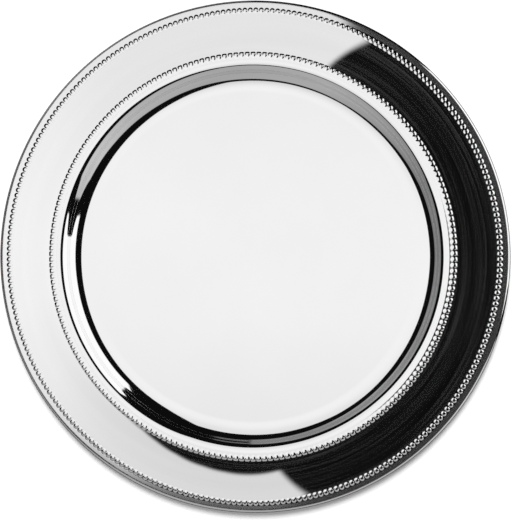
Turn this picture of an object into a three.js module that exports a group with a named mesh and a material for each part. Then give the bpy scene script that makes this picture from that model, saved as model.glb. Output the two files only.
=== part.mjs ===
// Round steel serving plate (a charger, or show plate) with two beaded borders.
// Millimetres, +Z up. The origin is the centre of the underside of the flat well.
//
// The plate is one pressed sheet: a flat well, a shallow dish, a short steep
// wall, a soft shoulder, a broad rim that falls a little towards the edge, and an
// edge that is curled under a round wire. Two thin beaded strips are soldered on
// top of the rim, one beside the edge and one beside the well. Here they are
// plain low rings of the strips' outer size.

import * as THREE from "three";

// ---- driving dimensions -------------------------------------------------
const PLATE_DIAMETER = 320; // over the curled edge
const SHEET = 0.9; // thickness of the pressed sheet
const SEGMENTS = 72; // facets round the plate, a multiple of 4

const WELL_FLAT_RADIUS = 103.15; // the flat ends here and the dish starts
const DISH_RADIUS = 33.8; // soft concave curve, upper surface
const DISH_SLOPE = 18; // degrees where the dish meets the wall's bend
const BEND_RADIUS = 3.5; // bends at the foot and the lip of the wall
const WALL_ANGLE = 58; // degrees from flat
const WALL_LENGTH = 1.51; // straight part of the wall, along its slope
const SHOULDER_START = 19; // degrees where the lip's bend meets the shoulder
const SHOULDER_RADIUS = 14.25; // soft convex curve of the shoulder
const SHOULDER_SLOPE = 0.1; // degrees beside the inner beads
const CREST_RADIUS = 125.6; // the rim's highest circle, under the inner beads
const CREST_CURVE = 24; // radius of the turn at the crest
const RIM_SLOPE_IN = -3.7; // degrees just outside the crest, falling outward
const RIM_SLOPE_OUT = -1.2; // degrees beside the outer beads: the rim is slightly hollow
const STRIP_RADIUS = 152.6; // the turn under the outer beads
const STRIP_CURVE = 38;
const STRIP_SLOPE = -2.4; // degrees of the narrow strip beside the edge
const CURL_RADIUS = 1.5; // outside radius of the curled edge
const CURL_END = -168; // degrees, where the curl's cut end lies, 0 pointing outward
const WIRE_GAP = 0.1; // clearance between the edge wire and the curl

const SOLDER_GAP = 0.05; // film between a beaded strip and the sheet
const BEAD_EDGE = 0.1; // thickness of a strip at its two edges
const BEAD_HEIGHT = 0.1; // how far the beads rise above the strip's edges
// Each border: the circle it follows and how far it reaches inside and outside.
const OUTER_BORDER = { radius: 153.5, inside: 1.85, outside: 2.05 };
const INNER_BORDER = { radius: 126.0, inside: 3.2, outside: 1.6 };

const DISH_STEPS = 4;
const BEND_STEPS = 4;
const SHOULDER_STEPS = 3;
const CREST_STEPS = 2;
const RIM_STEPS = 3;
const STRIP_STEPS = 2;
const CURL_STEPS = 8;
const BEAD_STEPS = 6;
const WIRE_SIDES = 8;

// ---- the sheet's upper surface, as points with their slope ----------------
const rad = (degrees) => (degrees * Math.PI) / 180;
const sin = (degrees) => Math.sin(rad(degrees));

// Each station holds r, z and the slope angle of the surface there.
function upperSurface() {
  const stations = [{ r: 0, z: SHEET, a: 0 }];
  const last = () => stations[stations.length - 1];
  const push = (r, z, a) => stations.push({ r, z, a });
  const straight = (length) => {
    const { r, z, a } = last();
    push(r + length * Math.cos(a), z + length * Math.sin(a), a);
  };
  // A circular turn to a new slope: the surface curves up where it is concave.
  const turn = (radius, to, steps) => {
    const { r, z, a } = last();
    const sign = to > a ? 1 : -1;
    for (let i = 1; i <= steps; i++) {
      const b = a + ((to - a) * i) / steps;
      push(
        r + sign * radius * (Math.sin(b) - Math.sin(a)),
        z - sign * radius * (Math.cos(b) - Math.cos(a)),
        b,
      );
    }
  };
  push(WELL_FLAT_RADIUS, SHEET, 0);
  turn(DISH_RADIUS, rad(DISH_SLOPE), DISH_STEPS);
  turn(BEND_RADIUS, rad(WALL_ANGLE), BEND_STEPS);
  straight(WALL_LENGTH);
  turn(BEND_RADIUS, rad(SHOULDER_START), BEND_STEPS);
  turn(SHOULDER_RADIUS, rad(SHOULDER_SLOPE), SHOULDER_STEPS);
  const half = (CREST_CURVE * (sin(SHOULDER_SLOPE) - sin(RIM_SLOPE_IN))) / 2;
  straight((CREST_RADIUS - half - last().r) / Math.cos(rad(SHOULDER_SLOPE)));
  turn(CREST_CURVE, rad(RIM_SLOPE_IN), CREST_STEPS);
  // The rim flattens slowly towards the outer beads, on one long arc.
  const bend = STRIP_CURVE * (sin(RIM_SLOPE_OUT) - sin(STRIP_SLOPE));
  const run = STRIP_RADIUS - bend / 2 - last().r;
  turn(run / (sin(RIM_SLOPE_OUT) - sin(RIM_SLOPE_IN)), rad(RIM_SLOPE_OUT), RIM_STEPS);
  turn(STRIP_CURVE, rad(STRIP_SLOPE), STRIP_STEPS);
  const end = PLATE_DIAMETER / 2 - CURL_RADIUS - CURL_RADIUS * sin(STRIP_SLOPE);
  straight((end - last().r) / Math.cos(rad(STRIP_SLOPE)));
  return stations;
}

const stations = upperSurface();
const rimEnd = stations[stations.length - 1];

// The curl is a ring of round section that the rim runs into on a tangent.
const curl = {
  r: PLATE_DIAMETER / 2 - CURL_RADIUS,
  z: rimEnd.z - CURL_RADIUS * Math.cos(rimEnd.a),
};

function upperAt(radius) {
  for (let i = 1; i < stations.length; i++) {
    const p = stations[i - 1];
    const q = stations[i];
    if (radius <= q.r && radius >= p.r) {
      const t = (radius - p.r) / (q.r - p.r);
      return p.z + (q.z - p.z) * t;
    }
  }
  throw new Error("no surface at radius " + radius);
}

// ---- profiles, as [r, z] pairs that run round the section -----------------
// The sheet: out along the underside, round the curl's inside, back along the
// curl's outside and in along the upper surface.
function sheetProfile() {
  const under = stations.map(({ r, z, a }) => [
    Math.max(0, r + SHEET * Math.sin(a)),
    z - SHEET * Math.cos(a),
  ]);
  const upper = stations.map(({ r, z }) => [r, z]);
  const start = 90 + (rimEnd.a * 180) / Math.PI;
  const inside = [];
  const outside = [];
  for (let i = 1; i <= CURL_STEPS; i++) {
    const a = rad(start + ((CURL_END - start) * i) / CURL_STEPS);
    const inner = CURL_RADIUS - SHEET;
    inside.push([curl.r + inner * Math.cos(a), curl.z + inner * Math.sin(a)]);
    outside.push([
      curl.r + CURL_RADIUS * Math.cos(a),
      curl.z + CURL_RADIUS * Math.sin(a),
    ]);
  }
  return [...under, ...inside, ...outside.reverse(), ...upper.reverse()];
}

// A beaded strip: it follows the sheet below, where it is soldered, at the
// sheet's own corners, and is arched above.
function beadProfile({ radius, inside, outside }) {
  const from = radius - inside;
  const to = radius + outside;
  const seat = (r) => upperAt(r) + SOLDER_GAP;
  const corners = stations.map(({ r }) => r).filter((r) => r > from + 0.1 && r < to - 0.1);
  const below = [from, ...corners, to].map((r) => [r, seat(r)]);
  const above = [];
  for (let i = 0; i <= BEAD_STEPS; i++) {
    const t = i / BEAD_STEPS;
    const r = to + (from - to) * t;
    above.push([r, seat(r) + BEAD_EDGE + BEAD_HEIGHT * 4 * t * (1 - t)]);
  }
  return [...below, ...above, below[0]];
}

function wireProfile() {
  const across = CURL_RADIUS - SHEET - WIRE_GAP;
  const points = [];
  for (let i = 0; i <= WIRE_SIDES; i++) {
    const a = (2 * Math.PI * i) / WIRE_SIDES;
    points.push([curl.r + across * Math.cos(a), curl.z + across * Math.sin(a)]);
  }
  points[WIRE_SIDES] = [...points[0]];
  return points;
}

// A profile turned round the Z axis. Its points run anticlockwise in (r, z).
function turned(profile) {
  const geometry = new THREE.LatheGeometry(
    profile.map(([r, z]) => new THREE.Vector2(r, z)),
    SEGMENTS,
  );
  geometry.rotateX(Math.PI / 2);
  return geometry;
}

function piece(name, profile, colour, roughness) {
  const mesh = new THREE.Mesh(
    turned(profile),
    new THREE.MeshStandardMaterial({ color: colour, roughness, metalness: 1 }),
  );
  mesh.name = name;
  return mesh;
}

// ---- the assembly ---------------------------------------------------------
const plate = new THREE.Group();
plate.add(piece("plate_body", sheetProfile(), 0xdcdddd, 0.06));
plate.add(piece("edge_wire", wireProfile(), 0xa9abad, 0.35));
plate.add(piece("outer_bead_border", beadProfile(OUTER_BORDER), 0xe2e3e3, 0.05));
plate.add(piece("inner_bead_border", beadProfile(INNER_BORDER), 0xe2e3e3, 0.05));

export default plate;
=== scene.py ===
"""Looks of the steel serving plate: fine meshes, finishes, studio and camera."""

import math

import bpy
from mathutils import Matrix, Vector


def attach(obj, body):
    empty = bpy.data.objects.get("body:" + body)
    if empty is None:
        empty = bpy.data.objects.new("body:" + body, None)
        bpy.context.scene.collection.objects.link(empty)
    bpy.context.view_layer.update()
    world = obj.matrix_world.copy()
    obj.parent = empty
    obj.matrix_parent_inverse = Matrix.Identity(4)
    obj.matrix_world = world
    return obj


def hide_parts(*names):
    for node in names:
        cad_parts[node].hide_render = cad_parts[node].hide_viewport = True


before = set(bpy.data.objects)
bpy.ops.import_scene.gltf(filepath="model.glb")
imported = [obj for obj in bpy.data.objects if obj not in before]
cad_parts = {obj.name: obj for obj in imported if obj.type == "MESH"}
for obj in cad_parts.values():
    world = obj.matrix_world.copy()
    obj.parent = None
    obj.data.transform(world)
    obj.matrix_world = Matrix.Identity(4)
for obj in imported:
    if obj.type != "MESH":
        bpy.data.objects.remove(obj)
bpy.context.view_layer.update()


MM = 0.001
rad = math.radians

# ---- sizes, as in the construction (millimetres) ---------------------------
PLATE_DIAMETER = 320
SHEET = 0.9
WELL_FLAT_RADIUS = 103.15
DISH_RADIUS = 33.8
DISH_SLOPE = 18
BEND_RADIUS = 3.5
WALL_ANGLE = 58
WALL_LENGTH = 1.51
SHOULDER_START = 19
SHOULDER_RADIUS = 14.25
SHOULDER_SLOPE = 0.1
CREST_RADIUS = 125.6
CREST_CURVE = 24
RIM_SLOPE_IN = -3.7
RIM_SLOPE_OUT = -1.2
STRIP_RADIUS = 152.6
STRIP_CURVE = 38
STRIP_SLOPE = -2.4
CURL_RADIUS = 1.5
CURL_END = -168
WIRE_GAP = 0.05
OUTER_BEAD_RADIUS = 153.5
INNER_BEAD_RADIUS = 126.0
BEAD_LIFT = 0.03
BEAD_SEAT = 0.15
LIP_WIDTH = 0.55
# Each row: beads, a bead's place, its reach inward, outward and along the row, the slope of its edge along the row,
# where on the radius that is steepest and how flat the top is, where the strip ends and how far its inner edge is raised.
OUTER_ROW = dict(beads=282, place=0.10, inward=1.80, outward=1.80, along=1.70, edge=0.286, steep=0.66, flat=4.8,
                 ends=(-1.85, 2.05), lip=0.0)
INNER_ROW = dict(beads=220, place=0.55, inward=3.20, outward=1.05, along=1.78, edge=0.25, steep=0.62, flat=3.0,
                 ends=(-3.20, 1.60), lip=0.003)

SEGMENTS = 288


# ---- the sheet's upper surface, finely stepped -----------------------------
def upper_surface():
    st = [(0.0, SHEET, 0.0)]

    def straight(length, steps=1):
        r, z, a = st[-1]
        for i in range(1, steps + 1):
            t = length * i / steps
            st.append((r + t * math.cos(a), z + t * math.sin(a), a))

    def turn(radius, to, steps):
        r, z, a = st[-1]
        sign = 1 if to > a else -1
        for i in range(1, steps + 1):
            b = a + (to - a) * i / steps
            st.append((r + sign * radius * (math.sin(b) - math.sin(a)),
                       z - sign * radius * (math.cos(b) - math.cos(a)), b))

    for r in (30.0, 70.0, 95.0, WELL_FLAT_RADIUS - 0.5, WELL_FLAT_RADIUS):
        st.append((r, SHEET, 0.0))
    # A soft dish, a tight bend up the wall, a tight bend at its lip and a soft shoulder.
    turn(DISH_RADIUS, rad(DISH_SLOPE), 20)
    turn(BEND_RADIUS, rad(WALL_ANGLE), 14)
    straight(0.1)
    straight(WALL_LENGTH - 0.2)
    straight(0.1)
    turn(BEND_RADIUS, rad(SHOULDER_START), 14)
    turn(SHOULDER_RADIUS, rad(SHOULDER_SLOPE), 14)
    half = CREST_CURVE * (math.sin(rad(SHOULDER_SLOPE)) - math.sin(rad(RIM_SLOPE_IN))) / 2
    straight((CREST_RADIUS - half - st[-1][0]) / math.cos(rad(SHOULDER_SLOPE)), 3)
    turn(CREST_CURVE, rad(RIM_SLOPE_IN), 6)
    # The rim is very slightly hollow from one row of beads to the other.
    bend = STRIP_CURVE * (math.sin(rad(RIM_SLOPE_OUT)) - math.sin(rad(STRIP_SLOPE)))
    run = STRIP_RADIUS - bend / 2 - st[-1][0]
    turn(run / (math.sin(rad(RIM_SLOPE_OUT)) - math.sin(rad(RIM_SLOPE_IN))), rad(RIM_SLOPE_OUT), 16)
    turn(STRIP_CURVE, rad(STRIP_SLOPE), 4)
    end = PLATE_DIAMETER / 2 - CURL_RADIUS - CURL_RADIUS * math.sin(rad(STRIP_SLOPE))
    straight((end - st[-1][0]) / math.cos(rad(STRIP_SLOPE)), 5)
    return st


STATIONS = upper_surface()
RIM_END = STATIONS[-1]
CURL = (PLATE_DIAMETER / 2 - CURL_RADIUS, RIM_END[1] - CURL_RADIUS * math.cos(RIM_END[2]))


def upper_at(radius):
    for p, q in zip(STATIONS, STATIONS[1:]):
        if p[0] <= radius <= q[0] and q[0] > p[0]:
            return p[1] + (q[1] - p[1]) * (radius - p[0]) / (q[0] - p[0])
    raise ValueError(radius)


# ---- mesh helpers ----------------------------------------------------------
def new_object(name, verts, faces, sharp_deg=35):
    mesh = bpy.data.meshes.new(name)
    mesh.from_pydata(verts, [], faces)
    mesh.update()
    mesh.shade_smooth()
    mesh.set_sharp_from_angle(angle=rad(sharp_deg))
    obj = bpy.data.objects.new(name, mesh)
    bpy.context.scene.collection.objects.link(obj)
    return obj


def lathe(name, profile, segments, closed):
    """Turns (r, z) pairs round Z. A profile that isn't closed starts and ends on the axis."""
    verts, faces, rows = [], [], []
    for r, z in profile:
        if r < 1e-9:
            rows.append([len(verts)] * segments)
            verts.append((0.0, 0.0, z * MM))
        else:
            rows.append(list(range(len(verts), len(verts) + segments)))
            for k in range(segments):
                a = 2 * math.pi * k / segments
                verts.append((r * MM * math.cos(a), r * MM * math.sin(a), z * MM))
    pairs = list(zip(range(len(rows)), range(1, len(rows))))
    if closed:
        pairs.append((len(rows) - 1, 0))
    row_of_face = []
    for i, j in pairs:
        for k in range(segments):
            n = (k + 1) % segments
            quad = [rows[i][k], rows[i][n], rows[j][n], rows[j][k]]
            face = [v for m, v in enumerate(quad) if v not in quad[:m]]
            faces.append(face)
            row_of_face.append(i)
    return new_object(name, verts, faces), row_of_face


# ---- plate body ------------------------------------------------------------
def make_body():
    below = [st for k, st in enumerate(STATIONS) if k % 2 == 0 or k == len(STATIONS) - 1]
    under = [(max(0.0, r + SHEET * math.sin(a)), z - SHEET * math.cos(a)) for r, z, a in below]
    upper = [(r, z) for r, z, a in STATIONS]
    start = 90 + math.degrees(RIM_END[2])
    inside, outside = [], []
    for steps, radius, row in ((16, CURL_RADIUS - SHEET, inside), (32, CURL_RADIUS, outside)):
        for i in range(1, steps + 1):
            a = rad(start + (CURL_END - start) * i / steps)
            row.append((CURL[0] + radius * math.cos(a), CURL[1] + radius * math.sin(a)))
    profile = under + inside + outside[::-1] + upper[::-1]
    body, rows = lathe("plate_body_sheet", profile, SEGMENTS, closed=False)
    first_upper = len(under) + len(inside) + len(outside)
    finish = []
    for i in rows:
        r = profile[i][0]
        above = i >= first_upper - 1
        if above and r > OUTER_BEAD_RADIUS:
            finish.append(2)
        elif above and r > INNER_BEAD_RADIUS:
            finish.append(1)
        else:
            finish.append(0)
    return body, finish


# ---- beaded wire -----------------------------------------------------------
def bead_height(x, s, row):
    """Height over the sheet at x across the row and s along it, from the middle of a bead."""
    steep, flat = row["steep"], row["flat"]
    reach = row["outward"] if x > row["place"] else row["inward"]
    out = min(1.0, math.hypot((x - row["place"]) / reach, s / row["along"]))
    if out >= steep:
        rise = (1 - out) ** 2 / (2 * (1 - steep))
    else:
        rise = (1 - steep) / 2 + steep / (flat + 1) * (1 - (out / steep) ** (flat + 1))
    edge = row["lip"] * max(0.0, 1 - (x - row["ends"][0]) / LIP_WIDTH)
    return BEAD_LIFT + edge + row["along"] * row["edge"] * rise


def make_beads(name, radius, row):
    """One closed ring: a thin strip seated in the sheet, with a row of low round beads along its top."""
    count, steps = row["beads"], 16
    pitch = 2 * math.pi * radius / count
    first, last = row["ends"]
    xs = [first + (last - first) * i / 17 for i in range(18)]
    verts, faces = [], []
    for k in range(count * steps):
        a = 2 * math.pi * k / (count * steps)
        s = pitch * ((k % steps) / steps - 0.5)
        ca, sa = math.cos(a), math.sin(a)
        ring = [(radius + x, upper_at(radius + x) + bead_height(x, s, row)) for x in xs]
        ring.append((radius + last, upper_at(radius + last) - BEAD_SEAT))
        ring.append((radius + first, upper_at(radius + first) - BEAD_SEAT))
        for r, z in ring:
            verts.append((r * MM * ca, r * MM * sa, z * MM))
    n = len(xs) + 2
    for k in range(count * steps):
        m = (k + 1) % (count * steps)
        for i in range(n):
            j = (i + 1) % n
            faces.append((k * n + i, k * n + j, m * n + j, m * n + i))
    return new_object(name, verts, faces, sharp_deg=50)


# ---- edge wire -------------------------------------------------------------
def make_wire():
    across = CURL_RADIUS - SHEET - WIRE_GAP
    profile = [(CURL[0] + across * math.cos(2 * math.pi * i / 20),
                CURL[1] + across * math.sin(2 * math.pi * i / 20)) for i in range(20)]
    return lathe("edge_wire_drawn", profile, 288, closed=True)[0]


# ---- materials -------------------------------------------------------------
def material(name):
    mat = bpy.data.materials.new(name)
    mat.use_nodes = True
    tree = mat.node_tree
    return mat, tree, tree.nodes["Principled BSDF"]


def math_node(tree, op, a, b=None):
    node = tree.nodes.new("ShaderNodeMath")
    node.operation = op
    for socket, value in zip(node.inputs, (a, b)):
        if value is None:
            continue
        if isinstance(value, (int, float)):
            socket.default_value = value
        else:
            tree.links.new(value, socket)
    return node.outputs[0]


def ring_coordinates(tree, across_mm, along):
    """Coordinates that run across the plate's radius and slowly along its circles."""
    place = tree.nodes.new("ShaderNodeTexCoord").outputs["Object"]
    split = tree.nodes.new("ShaderNodeSeparateXYZ")
    tree.links.new(place, split.inputs[0])
    x, y = split.outputs[0], split.outputs[1]
    r = math_node(tree, "SQRT", math_node(tree, "ADD", math_node(tree, "MULTIPLY", x, x),
                                          math_node(tree, "MULTIPLY", y, y)))
    both = tree.nodes.new("ShaderNodeCombineXYZ")
    tree.links.new(math_node(tree, "MULTIPLY", r, 1000.0 / across_mm), both.inputs[0])
    length = math_node(tree, "MAXIMUM", r, 1e-5)
    tree.links.new(math_node(tree, "MULTIPLY", math_node(tree, "DIVIDE", x, length), along), both.inputs[1])
    tree.links.new(math_node(tree, "MULTIPLY", math_node(tree, "DIVIDE", y, length), along), both.inputs[2])
    return both.outputs[0]


def noise(tree, vector, scale, detail=2.0, rough=0.5):
    node = tree.nodes.new("ShaderNodeTexNoise")
    tree.links.new(vector, node.inputs["Vector"])
    node.inputs["Scale"].default_value = scale
    node.inputs["Detail"].default_value = detail
    node.inputs["Roughness"].default_value = rough
    return node.outputs["Fac"]


def remap(tree, value, low, high, lo_in=0.3, hi_in=0.7):
    node = tree.nodes.new("ShaderNodeMapRange")
    tree.links.new(value, node.inputs["Value"])
    node.inputs["From Min"].default_value = lo_in
    node.inputs["From Max"].default_value = hi_in
    node.inputs["To Min"].default_value = low
    node.inputs["To Max"].default_value = high
    return node.outputs["Result"]


def colour_between(tree, value, dark, light):
    node = tree.nodes.new("ShaderNodeValToRGB")
    node.color_ramp.elements[0].position = 0.3
    node.color_ramp.elements[1].position = 0.7
    node.color_ramp.elements[0].color = (*dark, 1)
    node.color_ramp.elements[1].color = (*light, 1)
    tree.links.new(value, node.inputs["Fac"])
    return node.outputs["Color"]


def polished_steel():
    mat, tree, bsdf = material("polished_steel")
    bsdf.inputs["Metallic"].default_value = 1.0
    rings = ring_coordinates(tree, 0.6, 2.0)
    fine = noise(tree, rings, 1.0, 3.0, 0.6)
    place = tree.nodes.new("ShaderNodeTexCoord").outputs["Object"]
    cloud = noise(tree, place, 14.0, 4.0, 0.55)
    tree.links.new(colour_between(tree, cloud, (0.90, 0.90, 0.90), (0.925, 0.925, 0.925)),
                   bsdf.inputs["Base Color"])
    mixed = math_node(tree, "ADD", math_node(tree, "MULTIPLY", fine, 0.6),
                      math_node(tree, "MULTIPLY", cloud, 0.4))
    tree.links.new(remap(tree, mixed, 0.015, 0.05), bsdf.inputs["Roughness"])
    return mat


def ringed_steel():
    """Mirror bright, with a faint haze in fine rings."""
    mat, tree, bsdf = material("ringed_steel")
    lines = noise(tree, ring_coordinates(tree, 1.3, 1.1), 1.0, 4.0, 0.65)
    broad = noise(tree, ring_coordinates(tree, 7.0, 0.8), 1.0, 2.0, 0.5)
    tree.links.new(colour_between(tree, broad, (0.90, 0.90, 0.90), (0.925, 0.925, 0.925)),
                   bsdf.inputs["Base Color"])
    tree.links.new(remap(tree, broad, 0.012, 0.022), bsdf.inputs["Roughness"])
    haze = math_node(tree, "MULTIPLY", remap(tree, lines, 0.0, 0.034, 0.42, 0.72), remap(tree, broad, 0.3, 1.0))
    tree.links.new(math_node(tree, "SUBTRACT", 1.0, haze), bsdf.inputs["Metallic"])
    return mat


def edge_steel():
    mat, tree, bsdf = material("edge_steel")
    bsdf.inputs["Metallic"].default_value = 0.97
    lines = noise(tree, ring_coordinates(tree, 0.5, 0.8), 1.0, 3.0, 0.6)
    tree.links.new(colour_between(tree, lines, (0.90, 0.90, 0.90), (0.925, 0.925, 0.925)),
                   bsdf.inputs["Base Color"])
    tree.links.new(remap(tree, lines, 0.06, 0.09), bsdf.inputs["Roughness"])
    return mat


def bead_steel():
    mat, tree, bsdf = material("bead_steel")
    bsdf.inputs["Metallic"].default_value = 1.0
    place = tree.nodes.new("ShaderNodeTexCoord").outputs["Object"]
    grain = noise(tree, place, 900.0, 3.0, 0.6)
    tree.links.new(colour_between(tree, grain, (0.90, 0.90, 0.90), (0.94, 0.94, 0.94)),
                   bsdf.inputs["Base Color"])
    tree.links.new(remap(tree, grain, 0.02, 0.05), bsdf.inputs["Roughness"])
    return mat


def drawn_steel():
    mat, tree, bsdf = material("drawn_steel")
    bsdf.inputs["Metallic"].default_value = 1.0
    lines = noise(tree, ring_coordinates(tree, 0.15, 6.0), 1.0, 4.0, 0.6)
    tree.links.new(colour_between(tree, lines, (0.42, 0.42, 0.42), (0.62, 0.62, 0.62)),
                   bsdf.inputs["Base Color"])
    tree.links.new(remap(tree, lines, 0.28, 0.45), bsdf.inputs["Roughness"])
    return mat


# ---- the object ------------------------------------------------------------
body, finish = make_body()
for mat in (polished_steel(), ringed_steel(), edge_steel()):
    body.data.materials.append(mat)
body.data.polygons.foreach_set("material_index", finish)
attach(body, "root")
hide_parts("plate_body")

beads = bead_steel()
outer = make_beads("outer_bead_wire", OUTER_BEAD_RADIUS, OUTER_ROW)
outer.data.materials.append(beads)
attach(outer, "root")
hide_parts("outer_bead_border")

inner = make_beads("inner_bead_wire", INNER_BEAD_RADIUS, INNER_ROW)
inner.data.materials.append(beads)
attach(inner, "root")
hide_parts("inner_bead_border")

wire = make_wire()
wire.data.materials.append(drawn_steel())
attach(wire, "root")
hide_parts("edge_wire")


# ---- studio ----------------------------------------------------------------
def smooth(e0, e1, x):
    if e0 == e1:
        return 1.0 if x >= e0 else 0.0
    t = min(1.0, max(0.0, (x - e0) / (e1 - e0)))
    return t * t * (3 - 2 * t)


def line(points, x):
    """Straight lines between (x, y) pairs."""
    if x <= points[0][0]:
        return points[0][1]
    for (x0, y0), (x1, y1) in zip(points, points[1:]):
        if x <= x1:
            return y0 + (y1 - y0) * (x - x0) / (x1 - x0)
    return points[-1][1]


def window(x, low, high, soft):
    return smooth(low - soft, low + soft, x) * (1 - smooth(high - soft, high + soft, x))


# Walls of the studio by azimuth, 0 at +X, anticlockwise: brightness, and the elevation of their tops.
WALLS = [(-180, 0.20), (-160, 0.21), (-140, 0.34), (-120, 0.43), (-90, 0.40), (-60, 0.47), (-36, 0.60),
         (95, 0.24), (115, 0.25), (140, 0.28), (160, 0.24), (180, 0.20)]
WALL_TOPS = [(-180, 39), (-171, 43), (-160, 58), (-148, 63), (-132, 67.5), (-105, 69.5), (-73, 70.5), (-49, 69.5),
             (-36, 68), (-24, 66), (-20, 73), (14, 73.3), (51, 71), (62, 71), (90, 19), (105, 24), (125, 32),
             (140, 42), (153, 41), (180, 39)]
# The soft box in the gap between the walls: its foot by azimuth. The gap's two sides by elevation.
BOX_FOOT = [(-180, 95), (-19, 95), (-17, 73), (-7.3, 28), (-6.7, -1), (49.7, -1), (50.3, 28), (58, 72), (60, 95), (180, 95)]
GAP_START = [(-1, -20), (25, -20), (70, -31)]
GAP_END = [(-1, 95.2), (20, 95.2), (60, 104)]
# The overhead panel, in degrees from overhead: its right and left sides (y, x), its two ends (x, y),
# and its glow along y.
RIGHT_SIDE = [(-17, -3.6), (-15.7, -2.95), (-13.8, -2.0), (-11.8, -0.8), (-9.2, 0.3), (-5.8, 2.0), (-2.9, 3.4),
              (-1, 4.0), (3.8, 4.7), (6, 4.9), (8.1, 4.3), (10.5, 3.0), (12.5, 1.7), (15.5, 1.35), (20, 1.1)]
LEFT_SIDE = [(-12, -19.5), (-9.8, -22), (-6.6, -23.2), (0, -24.2), (7.1, -23.4), (10.5, -22.5), (13.8, -21.2),
             (17.1, -19.6), (20, -16)]
LOW_END = [(-24, -8), (-22, -9.8), (-19.3, -11.8), (-16.4, -13.4), (-14.4, -14.5), (-13.05, -14.95), (-11.3, -15.4),
           (-9, -15.77), (-7.3, -15.9), (-5, -15.95), (0, -16.05)]
HIGH_END = [(-24, 12), (-19.6, 17.1), (-16.8, 19.5), (-13, 20.3), (-9.4, 21), (-5.5, 20.9), (-1.8, 20.3), (3, 19)]
GLOW = [(-15, 0.74), (-12, 0.79), (-8, 0.89), (-3, 0.955), (2, 0.965), (8, 0.93), (13, 0.86), (20, 0.82)]


def studio(d):
    x, y, z = d
    az = math.degrees(math.atan2(y, x))
    el = math.degrees(math.asin(max(-1.0, min(1.0, z))))
    below_top = 1 - smooth(-0.6, 0.6, el - line(WALL_TOPS, az))
    box = smooth(-0.8, 0.8, el - line(BOX_FOOT, az)) * below_top
    gap = window(az, line(GAP_START, el), line(GAP_END, el), 0.8)
    walls = line(WALLS, az) * (1 - gap) * below_top * smooth(-6, -3, el)
    value = max(0.004, walls * (1 - box), 1.08 * box, 0.45 * (1 - smooth(-75, -60, el)))
    value = max(value, 0.42 * window(az, 118, 156, 6) * window(el, 20, 31, 3))
    value = max(value, 0.2 * window(az, 84, 95.5, 2) * window(el, 3.5, 12, 1.5))
    if z > 0.5:
        ax, ay = math.degrees(math.atan2(x, z)), math.degrees(math.atan2(y, z))
        soft = 0.3
        panel = 1 - smooth(-soft, soft, ax - line(RIGHT_SIDE, ay))
        panel *= smooth(-soft, soft, ax - line(LEFT_SIDE, ay))
        panel *= smooth(-0.15, 0.15, ay - line(LOW_END, ax)) * (1 - smooth(-soft, soft, ay - line(HIGH_END, ax)))
        value = max(value, panel * line(GLOW, ay))
    return value


def make_dome():
    radius = 50.0
    verts, faces, levels = [], [], []
    across, up = 720, 720
    fine = 260
    offs = [rad(0.1 * j) for j in range(fine)]
    offs += [rad(26 + 154 * j / (up - fine)) for j in range(up - fine + 1)]
    for off in offs:
        for i in range(across):
            az = 2 * math.pi * i / across
            d = (math.sin(off) * math.cos(az), math.sin(off) * math.sin(az), math.cos(off))
            verts.append(tuple(radius * c for c in d))
            levels.append(studio(d))
    for j in range(up):
        for i in range(across):
            n = (i + 1) % across
            faces.append((j * across + i, (j + 1) * across + i, (j + 1) * across + n, j * across + n))
    mesh = bpy.data.meshes.new("studio_dome")
    mesh.from_pydata(verts, [], faces)
    layer = mesh.color_attributes.new("level", "FLOAT_COLOR", "POINT")
    layer.data.foreach_set("color", [c for v in levels for c in (v, v, v, 1.0)])
    dome = bpy.data.objects.new("studio_dome", mesh)
    bpy.context.scene.collection.objects.link(dome)
    mat = bpy.data.materials.new("studio_light")
    mat.use_nodes = True
    tree = mat.node_tree
    tree.nodes.clear()
    out = tree.nodes.new("ShaderNodeOutputMaterial")
    glow = tree.nodes.new("ShaderNodeEmission")
    level = tree.nodes.new("ShaderNodeVertexColor")
    level.layer_name = "level"
    tree.links.new(level.outputs["Color"], glow.inputs["Color"])
    tree.links.new(glow.outputs[0], out.inputs["Surface"])
    mat.cycles.emission_sampling = "NONE"
    mesh.materials.append(mat)
    dome.visible_camera = False
    dome.visible_diffuse = False
    dome.visible_shadow = False
    return dome


def make_floor():
    size = 30.0
    mesh = bpy.data.meshes.new("floor")
    mesh.from_pydata([(-size, -size, 0), (size, -size, 0), (size, size, 0), (-size, size, 0)], [], [(0, 1, 2, 3)])
    floor = bpy.data.objects.new("floor", mesh)
    bpy.context.scene.collection.objects.link(floor)
    floor.location.z = -0.0002
    floor.visible_glossy = False
    mat, tree, bsdf = material("pale_floor")
    bsdf.inputs["Base Color"].default_value = (0.9, 0.9, 0.9, 1)
    bsdf.inputs["Roughness"].default_value = 0.9
    bsdf.inputs["Specular IOR Level"].default_value = 0.0
    mesh.materials.append(mat)
    return floor


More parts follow.
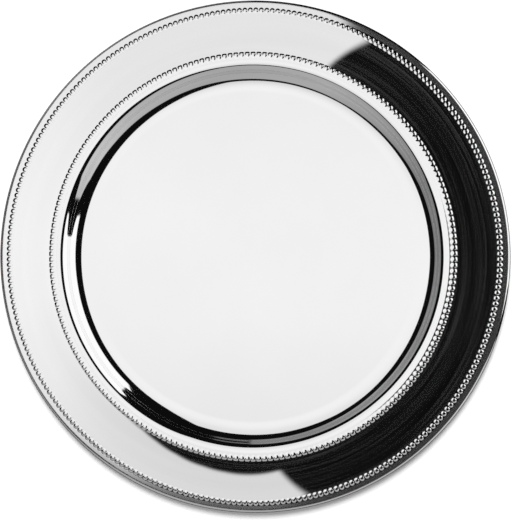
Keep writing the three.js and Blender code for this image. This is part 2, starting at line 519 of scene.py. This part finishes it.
def make_backdrop():
    """A plain white wall behind the object, all round it."""
    radius, height, sides = 4.0, 4.0, 64
    ring = [(radius * math.cos(2 * math.pi * i / sides), radius * math.sin(2 * math.pi * i / sides)) for i in range(sides)]
    verts = [(x, y, -0.01) for x, y in ring] + [(x, y, height) for x, y in ring]
    faces = [(i, (i + 1) % sides, sides + (i + 1) % sides, sides + i) for i in range(sides)]
    mesh = bpy.data.meshes.new("backdrop")
    mesh.from_pydata(verts, [], faces)
    wall = bpy.data.objects.new("backdrop", mesh)
    bpy.context.scene.collection.objects.link(wall)
    mat = bpy.data.materials.new("white_backdrop")
    mat.use_nodes = True
    tree = mat.node_tree
    tree.nodes.clear()
    out = tree.nodes.new("ShaderNodeOutputMaterial")
    glow = tree.nodes.new("ShaderNodeEmission")
    glow.inputs["Color"].default_value = (1, 1, 1, 1)
    tree.links.new(glow.outputs[0], out.inputs["Surface"])
    mat.cycles.emission_sampling = "NONE"
    mesh.materials.append(mat)
    wall.visible_diffuse = False
    wall.visible_glossy = False
    wall.visible_shadow = False
    return wall


def soft_light(name, place, spread, strength):
    """A broad, distant light that shines from place towards the origin."""
    data = bpy.data.lights.new(name, "SUN")
    data.angle = rad(spread)
    data.energy = strength
    obj = bpy.data.objects.new(name, data)
    obj.location = place
    obj.rotation_euler = (-Vector(place)).to_track_quat("-Z", "Y").to_euler()
    bpy.context.scene.collection.objects.link(obj)
    obj.visible_glossy = False
    obj.visible_camera = False
    return obj


make_dome()
make_floor()
make_backdrop()
soft_light("soft_key", (0.0, 1.7, 2.0), 34, 3.6)

world = bpy.data.worlds.new("studio_world")
world.use_nodes = True
world.node_tree.nodes["Background"].inputs["Color"].default_value = (1, 1, 1, 1)
world.node_tree.nodes["Background"].inputs["Strength"].default_value = 0.5
bpy.context.scene.world = world
bpy.context.scene.view_settings.view_transform = "Standard"
bpy.context.scene.view_settings.look = "None"

# ---- camera ----------------------------------------------------------------
TILT = rad(5.0)
DISTANCE = 0.74
target = Vector((0.00348, -0.00212, 0.0095))
eye = target + DISTANCE * Vector((math.sin(TILT), 0.0, math.cos(TILT)))
data = bpy.data.cameras.new("camera")
data.sensor_width = 36
data.lens = 82.55
data.clip_start = 0.01
camera = bpy.data.objects.new("camera", data)
back = (eye - target).normalized()
right = Vector((0, 1, 0)).cross(back).normalized()
up = back.cross(right)
camera.matrix_world = Matrix(((right.x, up.x, back.x, eye.x), (right.y, up.y, back.y, eye.y),
                              (right.z, up.z, back.z, eye.z), (0, 0, 0, 1)))
bpy.context.scene.collection.objects.link(camera)
bpy.context.scene.camera = camera
